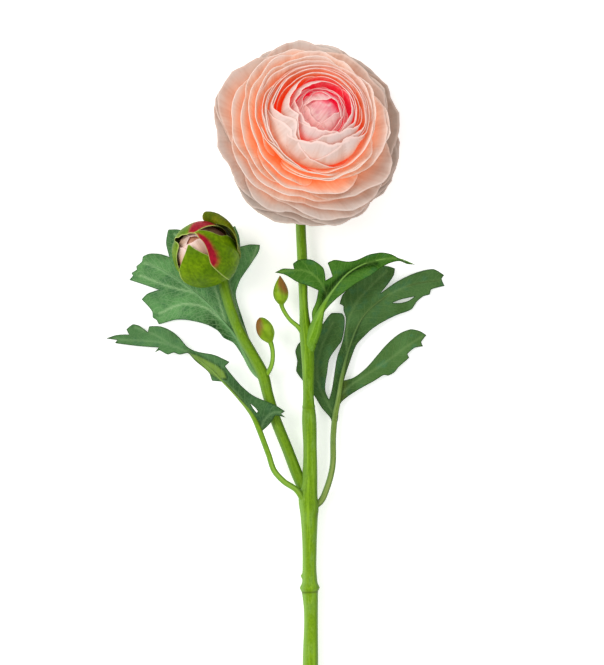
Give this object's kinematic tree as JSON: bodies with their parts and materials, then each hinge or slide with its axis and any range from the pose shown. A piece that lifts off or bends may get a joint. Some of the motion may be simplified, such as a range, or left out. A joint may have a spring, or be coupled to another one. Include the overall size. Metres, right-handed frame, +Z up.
{
  "type": "ranunculus flower",
  "caption": "Cut ranunculus spray lying on its back: an open peach and cream double flower, an opening bud, small closed buds and divided green leaves on a branched stem.",
  "frame": {"origin": "centre of the bottom of the spray's outer box, on the surface that it lies on", "axes": "+Y along the stem towards the flower, +X to the right seen from above with the flower at the top, +Z up out of the surface"},
  "size_m": [0.1462, 0.3484, 0.047],
  "materials": {
    "stem_green": "satin",
    "stalk_lime": "satin",
    "leaf_green": "matte",
    "leaf_blue_green": "matte",
    "sepal_olive": "matte",
    "small_bud_green": "satin",
    "petal_cream_pink": "matte",
    "petal_outer_cream": "matte",
    "petal_heart_pink": "matte"
  },
  "bodies": {
    "root": {"main_stem": "stem_green", "side_stem": "stem_green", "upper_bud_stalk": "stalk_lime", "lower_bud_stalk": "stalk_lime", "right_leaf": "leaf_green", "left_leaf": "leaf_green", "stem_leaf": "leaf_green", "bud_leaf": "leaf_blue_green", "flower_receptacle": "sepal_olive", "flower_sepal_1": "sepal_olive", "bud_sepal_1": "sepal_olive", "flower_sepal_2": "sepal_olive", "bud_sepal_2": "sepal_olive", "flower_sepal_3": "sepal_olive", "bud_sepal_3": "sepal_olive", "flower_sepal_4": "sepal_olive", "bud_sepal_4": "sepal_olive", "flower_sepal_5": "sepal_olive", "bud_sepal_5": "sepal_olive", "upper_small_bud": "small_bud_green", "lower_small_bud": "small_bud_green", "petal_01": "petal_cream_pink", "petal_02": "petal_cream_pink", "petal_03": "petal_cream_pink", "petal_04": "petal_cream_pink", "petal_05": "petal_cream_pink", "petal_06": "petal_cream_pink", "petal_07": "petal_cream_pink", "petal_08": "petal_cream_pink", "petal_09": "petal_cream_pink", "petal_10": "petal_cream_pink", "petal_11": "petal_cream_pink", "petal_12": "petal_cream_pink", "petal_13": "petal_cream_pink", "petal_14": "petal_cream_pink", "petal_15": "petal_cream_pink", "petal_16": "petal_cream_pink", "petal_17": "petal_cream_pink", "petal_18": "petal_cream_pink", "petal_19": "petal_cream_pink", "petal_20": "petal_cream_pink", "petal_21": "petal_cream_pink", "petal_22": "petal_cream_pink", "petal_23": "petal_cream_pink", "petal_24": "petal_cream_pink", "petal_25": "petal_cream_pink", "petal_26": "petal_cream_pink", "petal_27": "petal_cream_pink", "petal_28": "petal_cream_pink", "petal_29": "petal_cream_pink", "petal_30": "petal_cream_pink", "petal_31": "petal_cream_pink", "petal_32": "petal_outer_cream", "petal_33": "petal_outer_cream", "petal_34": "petal_outer_cream", "petal_35": "petal_outer_cream", "petal_36": "petal_outer_cream", "petal_37": "petal_outer_cream", "flower_heart": "petal_heart_pink", "bud_heart": "petal_heart_pink"}
  },
  "joints": []
}
